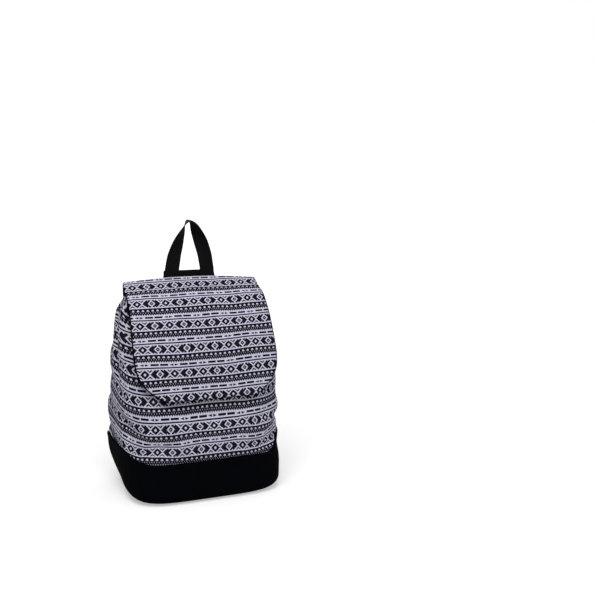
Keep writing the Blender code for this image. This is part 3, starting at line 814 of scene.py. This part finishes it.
def make_mouth_binding():
    """The narrow black hem round the mouth."""

    def place(q, r):
        rise = 0.0016 * (1 - abs(r)) + SEAM_GAP
        point = wall_point(q, MOUTH_HEIGHT) + Vector((0, 0, rise))
        inward = Vector((-point.x, 0.03 - point.y, 0)).normalized()
        return point + inward * 0.0010 * (r + 1)

    mesh = cloth_grid("mouth_edge_binding", 168, 4, place, lambda q, r: (q * MOUTH_HALF_GIRTH, r * 0.004))
    piece = new_piece(mesh, black_lining, "bag", "black_canvas", "mouth_binding")
    thicken(piece, 0.0006, 0)


# The flap
def flap_line(lift):
    """The flap's line in the Y and Z plane, from its tail behind, over the top and down the front."""
    behind = BACK_TOP_Y + CLEARANCE + 0.0012
    top = BACK_HEIGHT + FLAP_TOP_RISE - (FLAP_GAP - lift)
    tail = np.linspace(BACK_HEIGHT - FLAP_TAIL, top - FLAP_BEND, 8)
    points = [Vector((0, behind, height)) for height in tail]
    for bend in np.linspace(0, math.pi / 2, 8)[1:]:
        turn = Vector((0, 1 - math.cos(bend), 1 - math.sin(bend)))
        points.append(Vector((0, behind, top)) - FLAP_BEND * turn)
    heights = MOUTH_HEIGHT - (MOUTH_HEIGHT - FLAP_END_HEIGHT) * np.linspace(0.0, 1.0, 60) ** 1.7
    down = [point + normal * lift for point, normal in map(front_profile, heights)]
    points += [points[-1].lerp(down[0], share) for share in np.linspace(0, 1, 6)[1:-1]]
    return Path(points + down, smooth=0.0045)


flap_run = flap_line(FLAP_GAP)
LOWEST_ROW_HEIGHT = 0.1712
FLAP_ROW_SHIFT, FLAP_ROW_LEAN, FLAP_ROW_SCALE = 0.0130, 0.020, 1.055
FLAP_ROW_SAG, SAG_AT, SAG_REACH = 0.0050, -0.010, 0.105
FACING_BELOW, FACING_BEYOND = 0.0018, 0.0018


def flap_row_phase():
    """The place along the flap of its lowest row of diamonds."""
    heights = np.abs(flap_run.points[:, 2] - LOWEST_ROW_HEIGHT)
    heights[: len(heights) // 2] = 1.0
    return flap_run.at[int(np.argmin(heights))]


FLAP_ROW_AT = flap_row_phase()


def flap_half(place):
    """Half of the flap's width at a place along it."""
    corner = flap_run.total - FLAP_CORNER_LENGTH
    full = FLAP_TOP_WIDTH + (FLAP_WIDTH - FLAP_TOP_WIDTH) * min(place / corner, 1.0)
    cut = max(place - corner, 0.0) / FLAP_CORNER_LENGTH
    return (full - (full - FLAP_TIP_WIDTH) * cut**FLAP_CORNER_POWER) / 2


def flap_point(x, place, out=0.0):
    """A point of the flap's outer face, x from its middle, raised by out."""
    point, along = flap_run.point(place), flap_run.direction(place)
    inward = Vector((0, -along.z, along.y))
    begun = share_between(MOUTH_HEIGHT - point.z, 0.0, FLAP_DROP_LENGTH)
    dropped = inward * (FLAP_EDGE_DROP * begun * (2 * x / FLAP_WIDTH) ** 4 - out)
    return settled(point + Vector((x, 0, 0)) + dropped)


def flap_wave(x, place):
    """How far the soft flap stands off its even line, in metres."""
    free = smooth_share(place, 0.03, 0.10)
    crown = 0.0012 * smooth_share(place, 0.045, 0.075)
    return crown + free * (ripple(FLAP_WAVE, x, place) + ripple(FLAP_FINE_WAVE, x + 0.3, place * 0.6))


def make_flap():
    """The patterned flap and the black facing under it. The facing shows past the flap's edge as a black
    strip, partly the lining's edge and partly painted shadow.
    """
    total = flap_run.total

    def place(q, r):
        along = total * share_between(r, -1, 1)
        x = q * flap_half(along)
        to_edge = min((1 - abs(q)) * flap_half(along), total - along)
        roll = 0.0009 * (1 - smooth_share(to_edge, 0.0, 0.0035))
        hem = 0.0005 * (smooth_share(to_edge, 0.0, 0.002) - smooth_share(to_edge, 0.009, 0.011))
        return flap_point(x, along, flap_wave(x, along) - roll + hem)

    def flat_place(q, r):
        along = total * share_between(r, -1, 1)
        x, rows_up = q * flap_half(along), FLAP_ROW_AT - along
        sag = FLAP_ROW_SAG * (1 - ((x - SAG_AT) / SAG_REACH) ** 2)
        sag = sag * (0.4 + 0.6 * share_between(rows_up, 0.0, 0.12)) - 0.002
        shear = ripple(FLAP_ROW_SHEAR, x, along) * (1 - 0.6 * share_between(along, 0.05, total))
        return x + FLAP_ROW_SHIFT - FLAP_ROW_LEAN * rows_up, rows_up * FLAP_ROW_SCALE + sag + shear

    mesh = cloth_grid("flap_cloth", 98, 112, lambda q, r: place(-q, r), lambda q, r: flat_place(-q, r))
    piece = new_piece(mesh, patterned_cloth, "bag", "patterned_cloth", "flap")
    thicken(piece, 0.0012, -1)

    def facing(q, r):
        along = total * share_between(r, -1, 1)
        # The facing reaches past the flap's sides and droops below its bottom: a black strip along the edge,
        # partly the lining and partly painted shadow.
        beyond = FACING_BEYOND * smooth_share(along, 0.03, 0.06)
        x = -q * (flap_half(along) + beyond)
        hang = Vector((0, 0, -0.4 * beyond * smooth_share(along, total - 0.03, total)))
        return flap_point(x, along, flap_wave(x, along) - FACING_BELOW - 0.0004 * abs(q) ** 8) + hang

    lining = cloth_grid("flap_facing", 98, 112, facing, lambda q, r: (q * 0.11, r * 0.15))
    under = new_piece(lining, black_lining, "bag", "black_canvas", "flap_lining")
    thicken(under, 0.0007, -1)


# Webbing pieces
def webbing_strip(name, path, across_at, body, *nodes, steps=29):
    """Webbing that follows a path. across_at gives its width's direction at each place."""
    half = WEBBING_WIDTH / 2

    def place(q, r):
        along = path.total * share_between(r, -1, 1)
        return path.point(along) + across_at(along) * q * half

    mesh = cloth_grid(name, 6, steps, place, lambda q, r: (q * half, (r + 1) / 2 * path.total))
    piece = new_piece(mesh, black_webbing, body, "black_webbing", *nodes)
    thicken(piece, WEBBING * 0.93, 0)
    return piece


def make_carry_handle():
    """The handle's webbing, which twists a quarter turn up to its peak on each side."""
    foot, start = ANCHOR_BOTTOM + CLEARANCE, ANCHOR_TOP
    rise, spread = HANDLE_PEAK - start, HANDLE_SPREAD / 2
    leg = [(spread, foot), (spread, start)] + [(out * spread, start + up * rise) for out, up in HANDLE_LEG]
    leg += [(HANDLE_PEAK_RADIUS, HANDLE_PEAK - HANDLE_PEAK_RADIUS)]
    line = [(-x, HANDLE_Y, z) for x, z in leg] + [(0, HANDLE_Y, HANDLE_PEAK)]
    line += [(x, HANDLE_Y, z) for x, z in leg[::-1]]
    path = Path(line, smooth=0.010)
    lift = HANDLE_PEAK - path.points[:, 2].max()
    path.points[:, 2] += lift * np.clip((path.points[:, 2] - start) / rise, 0, 1)

    def across(place):
        point = path.point(place)
        turn = math.pi / 2 * share_between(point.z, start, HANDLE_PEAK) ** HANDLE_TWIST_POWER
        turn = math.pi - turn if point.x > 0 else turn
        return Vector((math.cos(turn), math.sin(turn), 0))

    webbing_strip("carry_handle_webbing", path, across, "bag", "carry_handle", steps=90)


def make_anchor_band():
    middle = (ANCHOR_TOP + ANCHOR_BOTTOM) / 2
    path = Path([(-ANCHOR_WIDTH / 2, ANCHOR_Y, middle), (ANCHOR_WIDTH / 2, ANCHOR_Y, middle)])
    webbing_strip("anchor_band_webbing", path, lambda place: Vector((0, 0, 1)), "bag", "anchor_band")


def strap_frame(side):
    down = Vector((side * math.sin(STRAP_TURN), 0, -math.cos(STRAP_TURN)))
    out = Vector((0, 1, 0))
    turn = Matrix((down, out, down.cross(out))).transposed().to_4x4()
    return Matrix.Translation((side * HANDLE_SPREAD / 2, 0, STRAP_TOP_Z)) @ turn


LOOP_RADIUS = SLIDER_BAR / 2 + CLEARANCE + WEBBING / 2
BAR_INWARD = WEBBING + CLEARANCE + WEBBING / 2 + LOOP_RADIUS
RING_TURN_RADIUS = RING_WIRE / 2 + 0.0017 + WEBBING / 2
RING_INWARD = WEBBING / 2 + RING_TURN_RADIUS
TAB_RADIUS = RING_WIRE / 2 + CLEARANCE + WEBBING / 2
RUN_START = Vector((FLAT_LENGTH + STRAP_BOW_LENGTH, STRAP_TOP_Y + STRAP_BOW))


def run_point(along, inward):
    return RUN_START + RUN_DOWN * along + Vector((RUN_DOWN.y, -RUN_DOWN.x)) * inward


def turn_points(along, inward, radius, start, end, count):
    return [run_point(along + radius * math.cos(angle), inward + radius * math.sin(angle))
            for angle in np.radians(np.linspace(start, end, count))]


def in_strap(side, points, aside=0.0):
    """Points in a strap's own plane, or aside from it, as places in the backpack's frame."""
    carry = strap_frame(side)
    return [carry @ Vector((point.x, point.y, aside)) for point in points]


def strap_webbing(side, name, points, body, *nodes, smooth=0.0, steps):
    """Webbing along a line in a strap's own plane."""
    across = strap_frame(side).to_3x3() @ Vector((0, 0, 1))
    path = Path(in_strap(side, points), smooth)
    return webbing_strip(name, path, lambda place: across, body, *nodes, steps=steps)


def tab_heel():
    """Where a tab turns down to the base, along its strap's plane."""
    return run_point(STRAP_RUN + RING_SPACING, RING_INWARD).x + TAB_HEEL


def make_strap(side, label):
    """A shoulder strap from the handle to its ring, and the ply that returns from the ring to the slider."""
    half = WEBBING / 2
    low, high = Vector((FLAT_LENGTH, STRAP_TOP_Y)), run_point(0, half)
    reach, end_slope = high - low, RUN_DOWN.y / RUN_DOWN.x
    line = [Vector((0.0005, STRAP_TOP_Y))]
    for t in np.linspace(0, 1, 30):
        rise = reach.y * (3 - 2 * t) * t**2 + end_slope * reach.x * (t**3 - t**2)
        line.append(low + Vector((reach.x * t, rise)))
    line += [run_point(along, half) for along in np.linspace(0, RETURN_START, 12)[1:]]
    line += turn_points(STRAP_RUN, RING_INWARD, RING_TURN_RADIUS, -90, 90, 15)
    past_ring = run_point(RETURN_START, RING_INWARD + RING_TURN_RADIUS)
    line.append(past_ring)
    strap_webbing(side, "shoulder_strap_webbing_" + label, line, "bag", "shoulder_strap_" + label, steps=170)
    loop_end = SLIDER_PLACE + END_LOOP_LENGTH
    back = [past_ring, run_point(RETURN_START - 0.022, BAR_INWARD)]
    back.append(run_point(loop_end + SEAM_GAP, BAR_INWARD))
    ply = strap_webbing(side, "strap_return_ply_" + label, back, None, smooth=0.004, steps=40)
    ends = [run_point(RETURN_START, BAR_INWARD), run_point(loop_end + 0.001, BAR_INWARD)]
    start, end = in_strap(side, ends)
    tuple(start)
    tuple(end)
    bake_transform(ply)


def make_end_loop(side, label):
    """The strap's end, sewn round the slider's middle bar."""
    end, neck = SLIDER_PLACE + END_LOOP_LENGTH, SLIDER_PLACE + 0.0068
    line = [run_point(end, BAR_INWARD - WEBBING / 2), run_point(neck, BAR_INWARD - WEBBING / 2)]
    line += turn_points(SLIDER_PLACE, BAR_INWARD, LOOP_RADIUS, -55, -305, 22)
    line += [run_point(neck, BAR_INWARD + WEBBING / 2), run_point(end, BAR_INWARD + WEBBING / 2)]
    strap_webbing(side, "strap_end_loop_webbing_" + label, line, "slider_" + label,
                  "strap_end_loop_" + label, smooth=0.0008, steps=60)


def make_tab(side, label):
    """The tab that goes through the ring and is sewn to the base."""
    wall, heel = BODY_DEPTH / 2 + BASE_FLARE + CLEARANCE, tab_heel()
    line = [Vector((heel + TAB_FOOT, wall + WEBBING * 1.5)), Vector((heel, wall + WEBBING * 1.5))]
    line += turn_points(STRAP_RUN + RING_SPACING, RING_INWARD, TAB_RADIUS, -70, -285, 18)
    line += [Vector((heel - 0.002, wall + WEBBING * 0.5)), Vector((heel + TAB_FOOT, wall + WEBBING * 0.5))]
    strap_webbing(side, "strap_tab_webbing_" + label, line, "bag", "strap_tab_" + label,
                  smooth=0.0008, steps=70)


def make_ring(side, label):
    """A rectangular ring of round nickel wire."""
    wide = WEBBING_WIDTH / 2 + 0.0006 + RING_WIRE / 2 - RING_CORNER
    along, turns = STRAP_RUN + RING_SPACING, []
    near, far = along - RING_CORNER, along - RING_SPACING + RING_CORNER
    for run, z, turn in ((near, wide, 0), (far, wide, 90), (far, -wide, 180), (near, -wide, 270)):
        for angle in np.radians(np.linspace(turn, turn + 90, 9)):
            place = run_point(run + RING_CORNER * math.cos(angle), RING_INWARD)
            turns += in_strap(side, [place], z + RING_CORNER * math.sin(angle))
    curve = bpy.data.curves.new("ring_wire", "CURVE")
    curve.dimensions, curve.bevel_depth, curve.bevel_resolution = "3D", RING_WIRE / 2, 5
    spline = curve.splines.new("POLY")
    spline.points.add(len(turns) - 1)
    for point, place in zip(spline.points, turns):
        point.co = (*place, 1)
    spline.use_cyclic_u = True
    wire = linked("ring_wire", curve)
    mesh = bpy.data.meshes.new_from_object(wire.evaluated_get(bpy.context.evaluated_depsgraph_get()))
    bpy.data.objects.remove(wire)
    mesh.materials.clear()
    mesh.name = "strap_ring_wire_" + label
    new_piece(mesh, nickel, "ring_" + label, "nickel", "strap_ring_" + label)


STITCH, STITCH_GAP, THREAD = 0.0030, 0.0012, 0.0005


def stitch_rows(name, rows, body):
    """Rows of thread stitches. Each row is a list of places, which the stitches follow."""
    bm = bmesh.new()
    for row in rows:
        path = Path(row)
        count = max(int(path.total / (STITCH + STITCH_GAP)), 1)
        for number in range(count):
            middle = (number + 0.5) * path.total / count
            turn = path.direction(middle).to_track_quat("X", "Z").to_matrix().to_4x4()
            shape = Matrix.Diagonal((STITCH / 2, THREAD / 2, THREAD / 2, 1))
            bmesh.ops.create_uvsphere(bm, u_segments=6, v_segments=4, radius=1,
                                      matrix=Matrix.Translation(path.point(middle)) @ turn @ shape)
    new_piece(finished_mesh(bm, name), black_thread, body, "black_webbing")


def flap_stitch(x, place):
    return flap_point(x, place, flap_wave(x, place) + 0.0002)


def make_flap_stitches():
    inset = 0.0065
    last = flap_run.total - inset
    side = np.linspace(0.06, last, 70)
    tip = flap_half(last) - inset
    edge = [flap_stitch(inset - flap_half(place), place) for place in side]
    edge += [flap_stitch(x, last) for x in np.linspace(-tip, tip, 40)[1:-1]]
    edge += [flap_stitch(flap_half(place) - inset, place) for place in side[::-1]]
    stitch_rows("flap_edge_stitches", [edge], "bag")


def make_anchor_stitches():
    """A box round the anchor band and a bar on each side of the handle."""
    face, inset = ANCHOR_Y + WEBBING / 2, 0.003
    x, low, high = ANCHOR_WIDTH / 2 - inset, ANCHOR_BOTTOM + inset, ANCHOR_TOP - inset
    rows = [[(-x, low), (x, low), (x, high), (-x, high), (-x, low)]]
    rows += [[(bar, low), (bar, high)] for bar in (-0.017, 0.017)]
    stitch_rows("anchor_band_stitches", [[(px, face, pz) for px, pz in row] for row in rows], "bag")


def make_strap_stitches(side, label):
    """A crossed box on the tab, and two bars across the end loop."""
    wide, out = WEBBING_WIDTH / 2 - 0.0025, BODY_DEPTH / 2 + BASE_FLARE + CLEARANCE + 2 * WEBBING
    low, high = (Vector((tab_heel() + along, out)) for along in (0.003, 0.016))
    box = ((low, -wide), (low, wide), (high, wide), (high, -wide), (low, -wide), (high, wide))
    stitch_rows("strap_tab_stitches_" + label, [[in_strap(side, [at], z)[0] for at, z in box]], "bag")
    bars = [run_point(SLIDER_PLACE + past, BAR_INWARD + WEBBING) for past in (0.012, 0.015)]
    rows = [[in_strap(side, [bar], z)[0] for z in (-wide, wide)] for bar in bars]
    stitch_rows("end_loop_stitches_" + label, rows, "slider_" + label)


make_base()
make_front_and_sides()
make_back()
make_mouth_binding()
make_flap()
make_carry_handle()
make_anchor_band()
for side, label in ((-1, "left"), (1, "right")):
    make_strap(side, label)
    make_end_loop(side, label)
    make_tab(side, label)
    make_ring(side, label)
make_flap_stitches()
make_anchor_stitches()
for side, label in ((-1, "left"), (1, "right")):
    make_strap_stitches(side, label)

# The sliders and the snap keep their CAD shapes
for name, look in (("strap_slider", black_plastic), ("snap", nickel)):
    for node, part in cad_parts.items():
        if node.startswith(name):
            for slot in part.material_slots:
                slot.material = look


# The floor, the light and the camera
WORLD_LIGHT, LIT_PLACE = 0.30, Vector((0, 0, 0.18))
LAMPS = (
    ("key", (-0.50, -1.00, 2.15), 1.2, 30),
    ("fill", (1.7, -1.3, 1.1), 1.6, 6),
    ("top", (0.1, 0.6, 2.2), 1.6, 5),
)
PICTURE_WIDTH, SENSOR_WIDTH = 595, 36


def make_floor():
    """A pale floor that glows a little to the camera, and more with distance, until it is white."""
    bm = bmesh.new()
    bmesh.ops.create_grid(bm, x_segments=1, y_segments=1, size=12)
    mesh = finished_mesh(bm, "floor")
    floor = linked("floor", mesh)
    floor.location.z = -0.0005
    look = Look("pale_floor", 0.9, specular=0.0)
    set_inputs(look.shader, {"Base Color": (0.80, 0.80, 0.80, 1), "Emission Color": (1, 1, 1, 1)})
    light_path = look.tree.nodes.new("ShaderNodeLightPath")
    away = look.tree.nodes.new("ShaderNodeVectorMath")
    away.operation = "LENGTH"
    look.tree.links.new(look.place, away.inputs[0])
    far = (Field(look.tree, away.outputs["Value"]) - 0.35).math("MULTIPLY", 0.5, clamp=True)
    seen = (far * 0.55 + 0.42) * Field(look.tree, light_path.outputs["Is Camera Ray"])
    look.tree.links.new(seen.socket, look.shader.inputs["Emission Strength"])
    mesh.materials.append(look.material)


def make_world():
    """An even pale light. Only the camera, gloss and glass see it as white."""
    world = bpy.data.worlds.new("studio")
    bpy.context.scene.world = world
    world.use_nodes = True
    tree = world.node_tree
    light_path = tree.nodes.new("ShaderNodeLightPath")
    total = Field(tree, light_path.outputs["Is Camera Ray"])
    for label in ("Is Glossy Ray", "Is Transmission Ray"):
        total = total.most(Field(tree, light_path.outputs[label]))
    strength = total * (1 - WORLD_LIGHT) + WORLD_LIGHT
    give(tree.nodes["Background"], Strength=strength)
    set_inputs(tree.nodes["Background"], {"Color": (1, 1, 1, 1)})


def make_lamp(name, place, size, power):
    lamp = bpy.data.lights.new(name, "AREA")
    lamp.shape, lamp.size, lamp.energy = "SQUARE", size, power
    holder = linked(name, lamp)
    holder.location = place
    holder.rotation_euler = (LIT_PLACE - Vector(place)).to_track_quat("-Z", "Y").to_euler()


def make_camera():
    """The photograph's view. The aim is off the bag, which stands left of and below the picture's middle."""
    azimuth, elevation, distance = math.radians(-17.5), math.radians(13.9), 1.5
    focal, aside, below = 903.0, 98.5, 69.8
    level = math.cos(elevation)
    back = Vector((math.sin(azimuth) * level, -math.cos(azimuth) * level, math.sin(elevation)))
    middle = Vector((0, 0, 0.2))
    look = (-back).to_track_quat("-Z", "Y").to_matrix()
    towards_eye = Vector((aside, below, focal)).normalized()
    right = Vector((0, 1, 0)).cross(towards_eye).normalized()
    upward = towards_eye.cross(right)
    turn = look @ Matrix((right, upward, towards_eye))
    camera = linked("camera", bpy.data.cameras.new("camera"))
    camera.data.sensor_width = SENSOR_WIDTH
    camera.data.lens = focal / PICTURE_WIDTH * SENSOR_WIDTH
    camera.data.clip_start = 0.05
    camera.matrix_world = Matrix.Translation(middle + back * distance) @ turn.to_4x4()
    bpy.context.scene.camera = camera


make_floor()
make_world()
for lamp in LAMPS:
    make_lamp(*lamp)
make_camera()
bpy.context.scene.view_settings.view_transform = "Standard"
